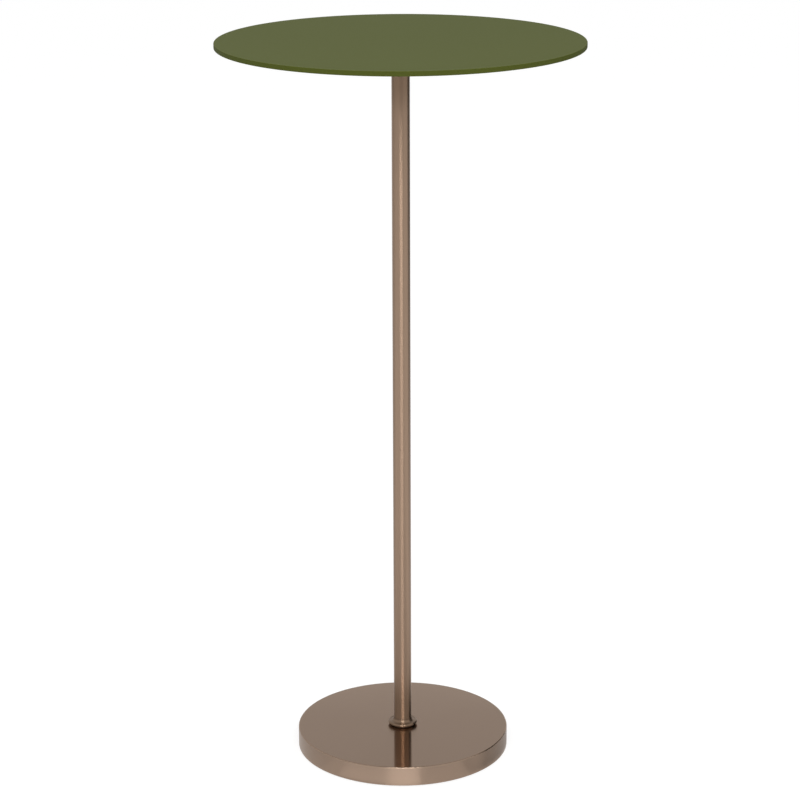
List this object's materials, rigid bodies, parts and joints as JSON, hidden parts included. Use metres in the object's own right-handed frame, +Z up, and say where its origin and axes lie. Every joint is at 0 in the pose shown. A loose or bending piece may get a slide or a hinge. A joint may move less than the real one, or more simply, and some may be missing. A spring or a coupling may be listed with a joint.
{
  "type": "wine table",
  "caption": "Small round drinks table: a thin green lacquered glass top on a slim bronze pole, with a flared collar and a low weighted round base.",
  "frame": {"origin": "centre of the base on the floor, at the underside of the foot pad", "axes": "+Z up along the pole; the table is round, so X and Y may be turned freely"},
  "size_m": [0.3, 0.3, 0.613],
  "materials": {
    "green_glass": "clear glass lacquered olive green on its underside, so opaque, with a softly satin face and seamed edges",
    "bronze_metal": "antique bronze plating on steel, fine satin brushing under clear lacquer",
    "zinc_steel": "bright zinc plating",
    "weight_iron": "sand-cast skin under black primer",
    "black_fibre": "matt black fibre",
    "bond_foam": "grey acrylic foam",
    "pad_rubber": "matt black rubber"
  },
  "bodies": {
    "root": {"glass_top": "green_glass", "bond_pad": "bond_foam", "mounting_plate": "bronze_metal", "plate_hub": "bronze_metal", "top_stud": "zinc_steel", "upper_insert": "zinc_steel", "pole_tube": "bronze_metal", "lower_insert": "zinc_steel", "collar": "bronze_metal", "collar_washer": "black_fibre", "base_cover": "bronze_metal", "base_weight": "weight_iron", "flat_washer": "zinc_steel", "spring_washer": "zinc_steel", "base_bolt": "zinc_steel", "foot_pad": "pad_rubber"}
  },
  "joints": []
}
